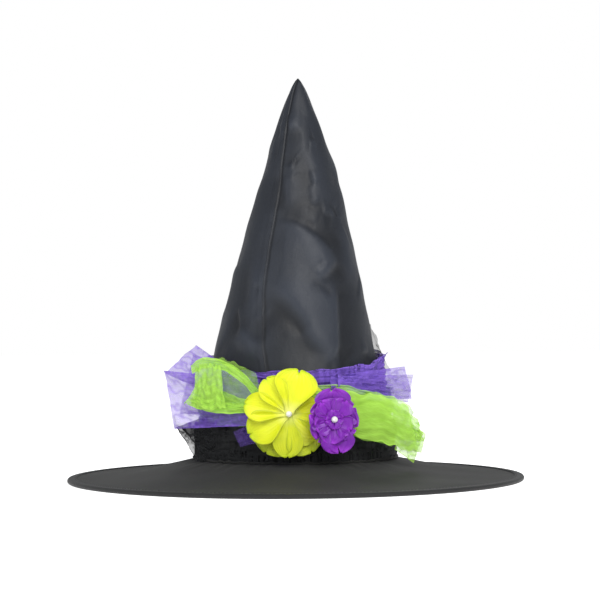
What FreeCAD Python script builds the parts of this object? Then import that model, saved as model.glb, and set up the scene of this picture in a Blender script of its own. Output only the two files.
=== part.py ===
import FreeCAD, Part
import math
import os

# A stiffened cloth witch hat: a pointed crown sewn to a wide brim, with three tulle
# sashes gathered round the crown and two cloth flowers at the front.
# The origin is the centre of the plane that the brim's edge rests on.  +Z points to
# the tip, -Y to the front, where the flowers are.  All sizes are in millimetres.

Vector = FreeCAD.Vector

# ---- brim ----
BRIM_R = 200.0              # outside of the edge binding
COVER_T = 0.6               # brim cloth
STIFFENER_T = 1.6           # board between the two covers
BINDING_T = 0.6             # edge tape
BINDING_W = 8.0             # how far the tape reaches over the brim
BRIM_EDGE_R = 196.0         # where the three layers end inside the tape
FLARE_R = 192.0             # the brim is level outside this radius
FLARE_POWER = 1.7           # how suddenly the brim turns up towards the crown
SEAM_Z = 17.5               # middle of the brim where it meets the crown

# ---- hoop in the brim's edge ----
HOOP_WIRE_R = 1.0
HOOP_R = 197.6
HOOP_GAP_DEG = 0.4          # between the two ends of the hoop, at the back
SLEEVE_R = 1.35
SLEEVE_L = 30.0

# ---- crown ----
HAT_H = 354.0
OPENING_R = 88.2            # outside of the crown at the brim
UPRIGHT_Z = 28.0            # the crown's wall is upright below this height
CROWN_POWER = 0.74          # 1 would be a straight cone; less gives the full, blunt tip
SATIN_T = 0.6
INTERFACING_T = 1.2
SWEATBAND_T = 0.8
SWEATBAND_Z = (12.5, 28.0)

# ---- tulle sashes, each a gathered band with puffs ----
CLEARANCE = 0.4             # between a soft piece and what it lies on
BLACK_BAND = (19.5, 47.0, 2.5)      # lowest, highest, thickness
GREEN_BAND = (48.0, 78.0, 5.0)
PURPLE_BAND = (79.0, 112.0, 6.0)
# centre and half-sizes of each puff
GREEN_PUFFS = (
    (Vector(-58, -64, 86), Vector(27, 15, 25)),
    (Vector(70, -66, 52), Vector(44, 22, 23)),
    (Vector(6, -80, 58), Vector(32, 8.5, 22)),
)
PURPLE_PUFFS = (
    (Vector(-86, -12, 84), Vector(29, 34, 34)),
    (Vector(78, -18, 84), Vector(25, 34, 17)),
)

# ---- flowers ----
PETAL_T = 1.6
PEARL_R = 2.7
YELLOW_CENTRE = Vector(-5.0, -92.0, 60.6)
YELLOW_TURN = 0.0           # degrees that the flower faces to its left
YELLOW_LEAN = 8.0           # degrees that it faces upwards
YELLOW_GLUE = (11.0, 9.0, 3.0)      # radius at the sash, at the flower, height
# angle of each petal, anticlockwise from the flower's right, and its reach
YELLOW_BACK_PETALS = {33: 31.5, 105: 33.0, 177: 34.0, 238: 35.6, 301: 34.8}
YELLOW_FRONT_HEIGHT = 2.2
YELLOW_FRONT_PETALS = {78: 36.4, 119: 34.0, 171: 36.4, 206: 36.4, 270: 34.8, 323: 29.0}
PURPLE_CENTRE = Vector(31.0, -99.0, 56.6)
PURPLE_TURN = 38.0
PURPLE_LEAN = 4.0
PURPLE_GLUE = (7.5, 6.0, 11.0)
PURPLE_LAYERS = (           # name, petals, reach, tilt, hub radius, height above the glue
    ("outer", 5, 26.0, 10.0, 7.0, 0.0),
    ("middle", 5, 20.0, 26.0, 5.0, 2.6),
    ("inner", 4, 14.0, 40.0, 4.0, 6.2),
)
PURPLE_PEARL_HEIGHT = 12.0


# ---- helpers ----

def spline(points):
    """An edge that runs smoothly through the points."""
    curve = Part.BSplineCurve()
    curve.interpolate(points)
    return curve.toShape()


def spin(edges):
    """The solid that a closed outline in the XZ plane sweeps round the Z axis."""
    face = Part.Face(Part.Wire(edges))
    return face.revolve(Vector(0, 0, 0), Vector(0, 0, 1), 360)


def even(low, high, count):
    """Values from low to high, evenly spaced."""
    return [low + (high - low) * step / (count - 1) for step in range(count)]


def ring(inner_r, outer_r, low_z, high_z):
    """A plain upright ring."""
    height = high_z - low_z
    outer = Part.makeCylinder(outer_r, height, Vector(0, 0, low_z))
    return outer.cut(Part.makeCylinder(inner_r, height, Vector(0, 0, low_z)))


# ---- brim ----

EDGE_Z = BINDING_T + COVER_T + STIFFENER_T / 2      # middle of the brim at its edge


def brim_height(radius):
    """Height of the brim's middle surface at a radius."""
    flare = max(0.0, (FLARE_R - radius) / (FLARE_R - OPENING_R))
    return EDGE_Z + (SEAM_Z - EDGE_Z) * flare ** FLARE_POWER


def brim_line(offset):
    """The brim's section line, that far above its middle surface."""
    radii = even(OPENING_R, BRIM_EDGE_R, 12)
    return [Vector(radius, 0, brim_height(radius) + offset) for radius in radii]


def brim_layer(low, high):
    """One layer of the brim, between two heights measured from its middle surface."""
    below = brim_line(low)
    above = brim_line(high)
    return spin([
        spline(below),
        Part.makeLine(below[-1], above[-1]),
        spline(above),
        Part.makeLine(above[0], below[0]),
    ])


def edge_section(half_height):
    """Outline of a round-nosed strip lying along the brim's edge."""
    nose_r = BRIM_R - EDGE_Z
    back_r = BRIM_R - BINDING_W
    low = EDGE_Z - half_height
    high = EDGE_Z + half_height
    nose = Part.Arc(
        Vector(nose_r, 0, low),
        Vector(nose_r + half_height, 0, EDGE_Z),
        Vector(nose_r, 0, high),
    )
    return [
        Part.makeLine(Vector(back_r, 0, low), Vector(nose_r, 0, low)),
        nose.toShape(),
        Part.makeLine(Vector(nose_r, 0, high), Vector(back_r, 0, high)),
        Part.makeLine(Vector(back_r, 0, high), Vector(back_r, 0, low)),
    ]


def binding():
    """Edge tape folded round the brim, flat underneath where the hat rests."""
    return spin(edge_section(EDGE_Z)).cut(spin(edge_section(EDGE_Z - BINDING_T)))


def arc_tube(tube_r, start_deg, end_deg):
    """A round rod bent along the hoop's circle."""
    rod = Part.makeTorus(HOOP_R, tube_r, Vector(0, 0, 0), Vector(0, 0, 1), -180, 180, end_deg - start_deg)
    rod.rotate(Vector(0, 0, 0), Vector(0, 0, 1), start_deg)
    rod.translate(Vector(0, 0, EDGE_Z))
    return rod


def hoop():
    """Sprung hoop with its two ends meeting at the back of the hat."""
    half_gap = HOOP_GAP_DEG / 2
    return arc_tube(HOOP_WIRE_R, 90 + half_gap, 450 - half_gap)


def hoop_sleeve():
    """Short tube that holds the hoop's two ends in line."""
    half_turn = math.degrees(SLEEVE_L / 2 / HOOP_R)
    outside = arc_tube(SLEEVE_R, 90 - half_turn, 90 + half_turn)
    return outside.cut(arc_tube(HOOP_WIRE_R, 80, 100))


# ---- crown ----

def crown_radius(height):
    """Outside radius of the crown at a height."""
    taper = min(1.0, (HAT_H - height) / (HAT_H - UPRIGHT_Z))
    return OPENING_R * taper ** CROWN_POWER


def crown_body(inset, foot_z):
    """The crown as a filled solid, made smaller all round by the inset."""
    shrink = (OPENING_R - inset) / OPENING_R
    top_z = HAT_H - inset
    # close steps near the tip, where the wall turns over
    heights = [top_z - (top_z - UPRIGHT_Z) * step ** 2 for step in even(0.0, 1.0, 14)]
    wall = [Vector(0, 0, top_z)]
    for height in heights[1:]:
        taper = (top_z - height) / (top_z - UPRIGHT_Z)
        wall.append(Vector(OPENING_R * shrink * taper ** CROWN_POWER, 0, height))
    foot = Vector(OPENING_R * shrink, 0, foot_z)
    centre = Vector(0, 0, foot_z)
    return spin([
        spline(wall),
        Part.makeLine(wall[-1], foot),
        Part.makeLine(foot, centre),
        Part.makeLine(centre, wall[0]),
    ])


CROWN_FOOT_Z = SEAM_Z - COVER_T - STIFFENER_T / 2


def crown_layer(outer_inset, inner_inset):
    """One cloth layer of the crown, open at its foot."""
    return crown_body(outer_inset, CROWN_FOOT_Z).cut(crown_body(inner_inset, CROWN_FOOT_Z))


# ---- sashes ----

def band_body(band, extra):
    """A band's outer shape as a filled solid, grown all over by the extra."""
    low, high, thickness = band
    heights = even(low - extra, high + extra, 5)
    swell = (0.0, 0.8, 1.0, 0.8, 0.0)
    wall = [
        Vector(crown_radius(height) + CLEARANCE + extra + 0.5 + thickness * part, 0, height)
        for height, part in zip(heights, swell)
    ]
    bottom = Vector(0, 0, heights[0])
    top = Vector(0, 0, heights[-1])
    return spin([
        spline(wall),
        Part.makeLine(wall[-1], top),
        Part.makeLine(top, bottom),
        Part.makeLine(bottom, wall[0]),
    ])


def ellipsoid(centre, half_sizes, extra=0.0):
    """A ball stretched to three half-sizes, each grown by the extra."""
    stretch = FreeCAD.Matrix()
    stretch.scale(half_sizes + Vector(extra, extra, extra))
    ball = Part.makeSphere(1.0)
    # one pole faces away from the crown and the other is cut off by it, so the cuts stay clean
    ball.rotate(Vector(0, 0, 0), Vector(-centre.y, centre.x, 0), 90)
    ball = ball.transformGeometry(stretch)
    ball.translate(centre)
    return ball


def sash(band, puffs, keep_clear):
    """A gathered band with its puffs, cut back from everything it lies on or beside."""
    shapes = [band_body(band, 0.0)] + [ellipsoid(centre, sizes) for centre, sizes in puffs]
    trimmed = []
    for shape in shapes:
        for other in keep_clear:
            shape = shape.cut(other)
        trimmed.append(shape)
    body = trimmed[0]
    for puff in trimmed[1:]:
        body = body.fuse(puff)
    return body.Solids[0]


# ---- flowers ----

def petal(angle, reach, tilt):
    """One petal from the flower's centre, turned to its angle and tilted forwards."""
    width = 0.78 * reach
    half_outline = ((0.0, 0.12), (0.3, 0.3), (0.72, 0.5), (0.95, 0.3))
    upper = [Vector(reach * along, width * out, 0) for along, out in half_outline]
    lower = [Vector(point.x, -point.y, 0) for point in reversed(upper)]
    outline = Part.BSplineCurve()
    outline.interpolate(upper + lower, PeriodicFlag=True)
    leaf = Part.Face(Part.Wire([outline.toShape()])).extrude(Vector(0, 0, PETAL_T))
    leaf.rotate(Vector(0, 0, 0), Vector(0, 1, 0), -tilt)
    leaf.rotate(Vector(0, 0, 0), Vector(0, 0, 1), angle)
    return leaf


def petal_layer(petals, tilt, hub_r):
    """A ring of petals joined to one hub, facing +Z on the flower's own axes."""
    layer = Part.makeCylinder(hub_r, PETAL_T)
    for angle, reach in petals.items():
        layer = layer.fuse(petal(angle, reach, tilt))
    return layer


def face_front(shape, centre, turn, lean):
    """Put a piece made on the flower's own axes in its place on the hat."""
    shape.rotate(Vector(0, 0, 0), Vector(1, 0, 0), 90 - lean)
    shape.rotate(Vector(0, 0, 0), Vector(0, 0, 1), turn)
    shape.translate(centre)
    return shape


def lifted(shape, height):
    """The piece raised along the flower's own axis."""
    shape.translate(Vector(0, 0, height))
    return shape


def yellow_flower():
    """Two petal layers, a pearl and the glue under them."""
    layers = {
        "yellow_flower_back_petals": petal_layer(YELLOW_BACK_PETALS, 4.0, 8.0),
        "yellow_flower_front_petals": lifted(
            petal_layer(YELLOW_FRONT_PETALS, 13.0, 7.0), YELLOW_FRONT_HEIGHT
        ),
        "yellow_flower_pearl": lifted(
            Part.makeSphere(PEARL_R), YELLOW_FRONT_HEIGHT + PETAL_T + PEARL_R + 0.2
        ),
        "yellow_flower_glue": lifted(Part.makeCone(*YELLOW_GLUE), -YELLOW_GLUE[2]),
    }
    return {
        name: face_front(shape, YELLOW_CENTRE, YELLOW_TURN, YELLOW_LEAN)
        for name, shape in layers.items()
    }


def purple_flower():
    """Three petal layers, a pearl and the glue under them."""
    pieces = {"purple_flower_glue": lifted(Part.makeCone(*PURPLE_GLUE), -PURPLE_GLUE[2])}
    for level, (name, count, reach, tilt, hub_r, height) in enumerate(PURPLE_LAYERS):
        step = 360.0 / count
        petals = {90 + step * (index + level / 2): reach for index in range(count)}
        layer = petal_layer(petals, tilt, hub_r)
        pieces[f"purple_flower_{name}_petals"] = lifted(layer, height)
    pieces["purple_flower_pearl"] = lifted(Part.makeSphere(PEARL_R), PURPLE_PEARL_HEIGHT)
    return {
        name: face_front(shape, PURPLE_CENTRE, PURPLE_TURN, PURPLE_LEAN)
        for name, shape in pieces.items()
    }


# ---- assembly ----

def hat():
    """Every piece of the hat by name."""
    half_board = STIFFENER_T / 2
    crown_keep_out = crown_body(-CLEARANCE, CROWN_FOOT_Z)
    black_keep_out = band_body(BLACK_BAND, CLEARANCE)
    green_keep_out = band_body(GREEN_BAND, CLEARANCE)
    green_puff_keep_outs = [ellipsoid(centre, sizes, CLEARANCE) for centre, sizes in GREEN_PUFFS]
    satin_and_interfacing = SATIN_T + INTERFACING_T
    pieces = {
        "brim_top_cover": brim_layer(half_board, half_board + COVER_T),
        "brim_stiffener": brim_layer(-half_board, half_board),
        "brim_bottom_cover": brim_layer(-half_board - COVER_T, -half_board),
        "brim_binding": binding(),
        "brim_hoop": hoop(),
        "hoop_sleeve": hoop_sleeve(),
        "crown_shell": crown_layer(0.0, SATIN_T),
        "crown_interfacing": crown_layer(SATIN_T, satin_and_interfacing),
        "sweatband": ring(
            OPENING_R - satin_and_interfacing - SWEATBAND_T,
            OPENING_R - satin_and_interfacing,
            *SWEATBAND_Z,
        ),
        "black_tulle_sash": sash(BLACK_BAND, (), [crown_keep_out]),
        "green_tulle_sash": sash(GREEN_BAND, GREEN_PUFFS, [crown_keep_out, black_keep_out]),
        "purple_tulle_sash": sash(
            PURPLE_BAND,
            PURPLE_PUFFS,
            [crown_keep_out, black_keep_out, green_keep_out] + green_puff_keep_outs,
        ),
    }
    pieces.update(yellow_flower())
    pieces.update(purple_flower())
    for glue in ("yellow_flower_glue", "purple_flower_glue"):
        pieces[glue] = pieces[glue].cut(pieces["green_tulle_sash"])
    return pieces


os.makedirs("parts", exist_ok=True)
for node, solid in hat().items():
    solid.exportStep(f"parts/{node}.step")
    size = solid.BoundBox
    print(f"{node:28s} solids {len(solid.Solids)} valid {solid.isValid()} volume {solid.Volume / 1000:8.2f} cm3"
          f"  x {size.XMin:7.1f} {size.XMax:7.1f}  y {size.YMin:7.1f} {size.YMax:7.1f}"
          f"  z {size.ZMin:6.1f} {size.ZMax:6.1f}")
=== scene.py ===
"""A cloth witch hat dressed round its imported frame: satin crown, wide brim, tulle sashes and two flowers."""

import logging
import math
from dataclasses import dataclass, field
from enum import Enum
from typing import Any, Sequence

import bmesh
import bpy
import numpy as np
from mathutils import Matrix, Vector


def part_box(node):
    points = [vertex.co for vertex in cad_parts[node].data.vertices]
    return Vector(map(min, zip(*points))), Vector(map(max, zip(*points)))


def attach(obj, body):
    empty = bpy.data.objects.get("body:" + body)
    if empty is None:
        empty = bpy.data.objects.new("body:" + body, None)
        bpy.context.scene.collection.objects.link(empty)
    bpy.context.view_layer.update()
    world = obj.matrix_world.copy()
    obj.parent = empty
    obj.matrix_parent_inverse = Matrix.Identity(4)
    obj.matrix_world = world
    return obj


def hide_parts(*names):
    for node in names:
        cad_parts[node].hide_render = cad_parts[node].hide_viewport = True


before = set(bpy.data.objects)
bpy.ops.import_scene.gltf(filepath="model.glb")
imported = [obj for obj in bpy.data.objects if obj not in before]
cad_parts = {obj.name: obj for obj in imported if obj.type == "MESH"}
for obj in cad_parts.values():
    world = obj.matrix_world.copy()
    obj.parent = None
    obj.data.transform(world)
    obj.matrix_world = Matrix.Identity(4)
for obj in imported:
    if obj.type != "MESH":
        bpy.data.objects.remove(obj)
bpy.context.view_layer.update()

LOG = logging.getLogger("witch_hat")
MM = 0.001
SAME_POINT = 1e-7  # metres; points nearer than this are one point
BODY = "root"
LOOK = "_look"
Array = np.ndarray
Colour = tuple[float, float, float]
Place = tuple[float, float, float]
SHEER_LAYERS = 24  # layers of net that light may pass


# ------------------------------------------------------------------ small maths

def smoothstep(value: Array) -> Array:
    """Ease a value from 0 to 1, held flat outside that range."""
    clipped = np.clip(value, 0.0, 1.0)
    return clipped * clipped * (3.0 - 2.0 * clipped)


def unit(vectors: Array) -> Array:
    """Scale vectors along the last axis to length one."""
    return vectors / np.maximum(np.linalg.norm(vectors, axis=-1, keepdims=True), 1e-9)


def waves(first: Array, second: Array, seed: int, periods: Sequence[tuple[float, float]]) -> Array:
    """Sum sine waves with seeded phases, for loose unevenness.

    Args:
        first: First coordinate.
        second: Second coordinate.
        seed: Seed of the phases.
        periods: Turns per unit of each coordinate, one pair a wave.

    Returns:
        Values of about -1 to 1.
    """
    random = np.random.default_rng(seed)
    total = np.zeros(np.broadcast(first, second).shape)
    for along, across in periods:
        phase = random.uniform(0.0, 2.0 * math.pi)
        total = total + np.sin(2.0 * math.pi * (along * first + across * second) + phase)
    return total / math.sqrt(len(periods))


def through(stations: Array, count: int) -> Array:
    """Run a smooth line through rows of values.

    Args:
        stations: One row of values a station.
        count: Rows wanted.

    Returns:
        The rows, evenly spaced by station.
    """
    padded = np.vstack([2 * stations[0] - stations[1], stations, 2 * stations[-1] - stations[-2]])
    place = np.linspace(0.0, len(stations) - 1 - 1e-9, count)
    start = place.astype(int)
    step = (place - start)[:, None]
    before, here, after, later = (padded[start + shift] for shift in range(4))
    return 0.5 * (
        2 * here
        + (after - before) * step
        + (2 * before - 5 * here + 4 * after - later) * step**2
        + (3 * here - before - 3 * after + later) * step**3
    )


# ------------------------------------------------------------------ meshes

@dataclass
class Patch:
    """A grid of points with its own UV and opacity or shade values."""

    points: Array
    uv: Array
    weights: dict[str, Array] = field(default_factory=dict)
    closed_across: bool = False
    closed_along: bool = False

    def faces(self, offset: int) -> list[tuple[int, int, int, int]]:
        """Quads of the grid, numbered from the offset."""
        rows, columns = self.points.shape[:2]
        row_count = rows if self.closed_along else rows - 1
        column_count = columns if self.closed_across else columns - 1
        row, column = np.meshgrid(np.arange(row_count), np.arange(column_count), indexing="ij")
        next_row = (row + 1) % rows
        next_column = (column + 1) % columns
        corners = [
            row * columns + column,
            row * columns + next_column,
            next_row * columns + next_column,
            next_row * columns + column,
        ]
        return [tuple(quad) for quad in (np.stack(corners, -1).reshape(-1, 4) + offset).tolist()]


def grid_uv(rows: int, columns: int) -> Array:
    """UV values that run from 0 to 1 along and across a grid."""
    along, across = np.meshgrid(np.linspace(0, 1, rows), np.linspace(0, 1, columns), indexing="ij")
    return np.stack([across, along], -1)


def make_mesh(name: str, patches: Sequence[Patch], material: bpy.types.Material) -> bpy.types.Object:
    """Join patches, given in millimetres, into one smooth piece.

    Args:
        name: Name of the piece.
        patches: The grids.
        material: Its finish.

    Returns:
        The new object, at the origin, with its place in its mesh.
    """
    points: list[Array] = []
    uvs: list[Array] = []
    faces: list[tuple[int, int, int, int]] = []
    count = 0
    for patch in patches:
        faces += patch.faces(count)
        points.append(patch.points.reshape(-1, 3) * MM)
        uvs.append(patch.uv.reshape(-1, 2))
        count += len(points[-1])
    mesh = bpy.data.meshes.new(name)
    mesh.from_pydata(np.vstack(points).tolist(), [], faces)
    loops = np.zeros(len(mesh.loops), int)
    mesh.loops.foreach_get("vertex_index", loops)
    mesh.uv_layers.new(name="cloth").data.foreach_set("uv", np.vstack(uvs)[loops].ravel())
    for weight in sorted({key for patch in patches for key in patch.weights}):
        values = [
            patch.weights.get(weight, np.ones(patch.points.shape[:2])).ravel() for patch in patches
        ]
        mesh.attributes.new(weight, "FLOAT", "POINT").data.foreach_set("value", np.concatenate(values))
    mesh.shade_smooth()
    mesh.materials.append(material)
    piece = bpy.data.objects.new(name, mesh)
    bpy.context.scene.collection.objects.link(piece)
    return piece


def weld(piece: bpy.types.Object) -> bpy.types.Object:
    """Merge points that coincide, so that tips, poles and hems close without empty faces.

    Args:
        piece: A closed piece.

    Returns:
        The same piece.
    """
    mesh = bmesh.new()
    mesh.from_mesh(piece.data)
    bmesh.ops.remove_doubles(mesh, verts=mesh.verts, dist=SAME_POINT)
    loose = [edge for edge in mesh.edges if not edge.link_faces]
    bmesh.ops.delete(mesh, geom=loose, context="EDGES")
    mesh.to_mesh(piece.data)
    mesh.free()
    return piece


def shell(outer: Array, inner: Array, uv: Array, weights: dict[str, Array] | None = None) -> Patch:
    """Close an outer and an inner skin, both wrapped round, into one thick tube.

    Args:
        outer: Rows of rings of the outer skin.
        inner: The same rings of the inner skin.
        uv: UV of the outer skin.
        weights: Point values of the outer skin.

    Returns:
        One patch, closed both ways, with its faces outwards.
    """
    points = np.concatenate([outer, inner[::-1]], 0)
    both = {key: np.concatenate([value, value[::-1]], 0) for key, value in (weights or {}).items()}
    return Patch(points, np.concatenate([uv, uv[::-1]], 0), both, closed_across=True, closed_along=True)


def lathe(profile: Sequence[tuple[float, float]], columns: int, closed: bool = True) -> Patch:
    """Turn an outline of radius and height round the Z axis."""
    radius, height = np.array(profile, float).T
    angle = np.linspace(0.0, 2.0 * math.pi, columns, endpoint=False)
    points = np.stack([
        radius[:, None] * np.cos(angle),
        radius[:, None] * np.sin(angle),
        np.repeat(height[:, None], columns, 1),
    ], -1)
    return Patch(points, grid_uv(len(radius), columns), closed_across=True, closed_along=closed)


def settle(piece: bpy.types.Object, slot: str, *nodes: str) -> bpy.types.Object:
    """Attach a finished piece to the hat and report it.

    Args:
        piece: The finished piece.
        slot: The material slot that it stands for.
        nodes: The frame's nodes that it takes the place of.

    Returns:
        The same piece.
    """
    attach(piece, BODY)
    if nodes:
        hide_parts(*nodes)
    LOG.info("%s: %d points, slot %s, for %s", piece.name, len(piece.data.vertices), slot, nodes or "itself")
    return piece


# ------------------------------------------------------------------ shader building

class Number:
    """A number socket that takes part in Python arithmetic."""

    def __init__(self, shader: "Shader", socket: bpy.types.NodeSocket) -> None:
        """Hold the socket and the shader that it belongs to."""
        self.shader = shader
        self.socket = socket

    def _with(self, operation: str, *values: Any) -> "Number":
        """The result of one Math node."""
        made = self.shader.node("ShaderNodeMath", {"operation": operation}, dict(enumerate(values)))
        return Number(self.shader, made.outputs[0])

    def __add__(self, other: Any) -> "Number":
        """Sum."""
        return self._with("ADD", self, other)

    __radd__ = __add__

    def __sub__(self, other: Any) -> "Number":
        """Difference."""
        return self._with("SUBTRACT", self, other)

    def __rsub__(self, other: Any) -> "Number":
        """Difference, the other way round."""
        return self._with("SUBTRACT", other, self)

    def __mul__(self, other: Any) -> "Number":
        """Product."""
        return self._with("MULTIPLY", self, other)

    __rmul__ = __mul__

    def __pow__(self, other: Any) -> "Number":
        """Power."""
        return self._with("POWER", self, other)

    def sine(self) -> "Number":
        """Sine of the number, in radians."""
        return self._with("SINE", self)

    def size(self) -> "Number":
        """The number without its sign."""
        return self._with("ABSOLUTE", self)

    def held(self) -> "Number":
        """The number kept between 0 and 1."""
        made = self.shader.node("ShaderNodeClamp", {}, {0: self})
        return Number(self.shader, made.outputs[0])


class Shader:
    """One material, built node by node."""

    def __init__(self, name: str) -> None:
        """Start an empty material."""
        self.material = bpy.data.materials.new(name + LOOK)
        self.material.use_nodes = True
        self.tree = self.material.node_tree
        self.tree.nodes.clear()

    def node(self, kind: str, settings: dict[str, Any], inputs: dict[Any, Any]) -> bpy.types.Node:
        """Add a node.

        Args:
            kind: Type of the node.
            settings: Its own settings; "stops" gives a colour ramp's stops.
            inputs: Values or links of its sockets, by name or number.

        Returns:
            The node.
        """
        made = self.tree.nodes.new(kind)
        for key, value in settings.items():
            if key == "stops":
                self._set_stops(made.color_ramp, value)
            else:
                setattr(made, key, value)
        for key, value in inputs.items():
            if isinstance(value, Number):
                value = value.socket
            if isinstance(value, bpy.types.NodeSocket):
                self.tree.links.new(value, made.inputs[key])
            else:
                made.inputs[key].default_value = value
        return made

    @staticmethod
    def _set_stops(ramp: bpy.types.ColorRamp, stops: Sequence[tuple[float, Colour]]) -> None:
        """Give a ramp its stops."""
        while len(ramp.elements) < len(stops):
            ramp.elements.new(1.0)
        for element, (place, colour) in zip(ramp.elements, stops):
            element.position = place
            element.color = (*colour, 1.0)

    def place(self) -> bpy.types.NodeSocket:
        """Object coordinates."""
        return self.node("ShaderNodeTexCoord", {}, {}).outputs["Object"]

    def uv(self) -> bpy.types.NodeSocket:
        """The piece's own UV map."""
        return self.node("ShaderNodeUVMap", {"uv_map": "cloth"}, {}).outputs[0]

    def uv_parts(self) -> tuple[Number, Number]:
        """The UV map's two numbers: across, then along."""
        split = self.node("ShaderNodeSeparateXYZ", {}, {0: self.uv()})
        return Number(self, split.outputs[0]), Number(self, split.outputs[1])

    def weight(self, name: str) -> Number:
        """A point value of the mesh."""
        return Number(self, self.node("ShaderNodeAttribute", {"attribute_name": name}, {}).outputs["Fac"])

    def scaled(self, source: bpy.types.NodeSocket, scale: tuple[float, float, float]) -> bpy.types.NodeSocket:
        """Coordinates stretched by a scale."""
        return self.node("ShaderNodeMapping", {}, {"Vector": source, "Scale": scale}).outputs[0]

    def noise(self, source: bpy.types.NodeSocket, scale: float, detail: float = 2.0, twist: float = 0.0) -> Number:
        """Soft noise of 0 to 1."""
        made = self.node("ShaderNodeTexNoise", {}, {
            "Vector": source, "Scale": scale, "Detail": detail, "Distortion": twist,
        })
        return Number(self, made.outputs[0])

    def weave(self, source: bpy.types.NodeSocket, turns: float) -> Number:
        """Over-and-under threads, from two crossed waves."""
        split = self.node("ShaderNodeSeparateXYZ", {}, {0: source})
        across = (Number(self, split.outputs[0]) * turns).sine()
        along = (Number(self, split.outputs[1]) * turns).sine()
        return (across * along) * 0.5 + 0.5

    def mix(self, share: Any, low: Any, high: Any) -> bpy.types.NodeSocket:
        """Blend two colours by a share of 0 to 1."""
        made = self.node("ShaderNodeMix", {"data_type": "RGBA"}, {
            0: share, 6: self._solid(low), 7: self._solid(high),
        })
        return made.outputs[2]

    @staticmethod
    def _solid(colour: Any) -> Any:
        """A plain colour with its alpha, or a link as it is."""
        return (*colour, 1.0) if isinstance(colour, tuple) else colour

    def bump(self, height: Number, strength: float, depth_mm: float) -> bpy.types.NodeSocket:
        """Fine relief that the mesh is too coarse for."""
        made = self.node("ShaderNodeBump", {}, {
            "Strength": strength, "Distance": depth_mm * MM, "Height": height,
        })
        return made.outputs[0]

    def finish(self, inputs: dict[str, Any]) -> bpy.types.Material:
        """Close the material with its surface."""
        surface = self.node("ShaderNodeBsdfPrincipled", {}, inputs)
        self.node("ShaderNodeOutputMaterial", {}, {0: surface.outputs[0]})
        return self.material


# ------------------------------------------------------------------ finishes

@dataclass(frozen=True)
class Satin:
    """Thin lustrous cloth: shine on the folds, faint creasing and a fine weave; with folds set, painted shade and
    highlight from the crown's creases.
    """

    name: str
    deep: Colour
    lit: Colour
    roughness: float
    threads: float = 9000.0
    crumple: float = 0.45
    # With folds, the mesh's fold weight paints shade into the creases and light on their proud sides.
    folds: bool = False

    def build(self) -> bpy.types.Material:
        """Make the material."""
        shader = Shader(self.name)
        place = shader.place()
        broad = shader.noise(place, 22.0, 3.0, 0.6)
        fine = shader.noise(shader.scaled(place, (1.0, 1.0, 0.55)), 120.0, 3.0, 1.2)
        slub = shader.noise(shader.scaled(place, (1.0, 1.0, 14.0)), 260.0, 1.0)
        share = broad * 0.5 + fine * 0.25 + 0.1
        if self.folds:
            # Painted shade and highlight: the fold weight darkens the sunken side of each crease and lightens its
            # proud side.
            share = share * 0.5 + shader.weight("fold") * 0.85 - 0.1
        colour = shader.mix(share.held(), self.deep, self.lit)
        relief = fine * self.crumple * 0.35 + broad * 1.1 + slub * 0.05 + shader.weave(place, self.threads) * 0.02
        return shader.finish({
            "Base Color": colour,
            "Roughness": (fine * 0.12 + slub * 0.06 + (self.roughness - 0.09)).held(),
            "Normal": shader.bump(relief, 0.7, 1.8),
            "Specular IOR Level": 0.36,
            "Sheen Weight": 0.06,
            "Sheen Roughness": 0.3,
        })


@dataclass(frozen=True)
class MatteCloth:
    """Plain-weave brim cloth, felt or interfacing: dull, slightly uneven, a little lint."""

    name: str
    deep: Colour
    lit: Colour
    roughness: float = 0.85
    threads: float = 5200.0
    depth_mm: float = 0.25

    def build(self) -> bpy.types.Material:
        """Make the material."""
        shader = Shader(self.name)
        place = shader.place()
        broad = shader.noise(place, 14.0, 3.0, 0.3)
        lint = shader.noise(place, 900.0, 2.0)
        rub = shader.noise(place, 75.0, 4.0, 0.4)
        share = (broad * 0.55 + rub * 0.35 + lint * 0.3 - 0.1).held()
        relief = shader.weave(place, self.threads) * 0.35 + lint * 0.4 + rub * 0.5
        return shader.finish({
            "Base Color": shader.mix(share, self.deep, self.lit),
            "Roughness": (lint * 0.1 + (self.roughness - 0.05)).held(),
            "Normal": shader.bump(relief, 0.5, self.depth_mm),
            "Specular IOR Level": 0.3,
            "Sheen Weight": 0.08,
            "Sheen Roughness": 0.5,
        })


@dataclass(frozen=True)
class Tulle:
    """Fine see-through net, denser on its folds and cut edges."""

    name: str
    deep: Colour
    lit: Colour
    clear: float
    mesh_turns: tuple[float, float] = (90.0, 420.0)

    def build(self) -> bpy.types.Material:
        """Make the material."""
        shader = Shader(self.name)
        across, along = shader.uv_parts()
        streak = shader.noise(shader.scaled(shader.uv(), (34.0, 5.0, 1.0)), 3.0, 3.0, 0.3)
        across_net = (across * (2 * math.pi * self.mesh_turns[0])).sine().size()
        along_net = (along * (2 * math.pi * self.mesh_turns[1])).sine().size()
        net = across_net * 0.5 + along_net * 0.5
        cloud = shader.noise(shader.place(), 60.0, 3.0, 0.8)
        alpha = shader.weight("threads") * (streak * 0.24 + net * 0.12 + cloud * 0.2 + 0.69) * self.clear
        return shader.finish({
            "Base Color": shader.mix((streak * 1.5 - 0.25).held(), self.deep, self.lit),
            "Roughness": 0.7,
            "Alpha": alpha.held(),
            "Normal": shader.bump(net * 0.3 + streak, 0.15, 0.15),
            "Specular IOR Level": 0.25,
        })


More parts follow.
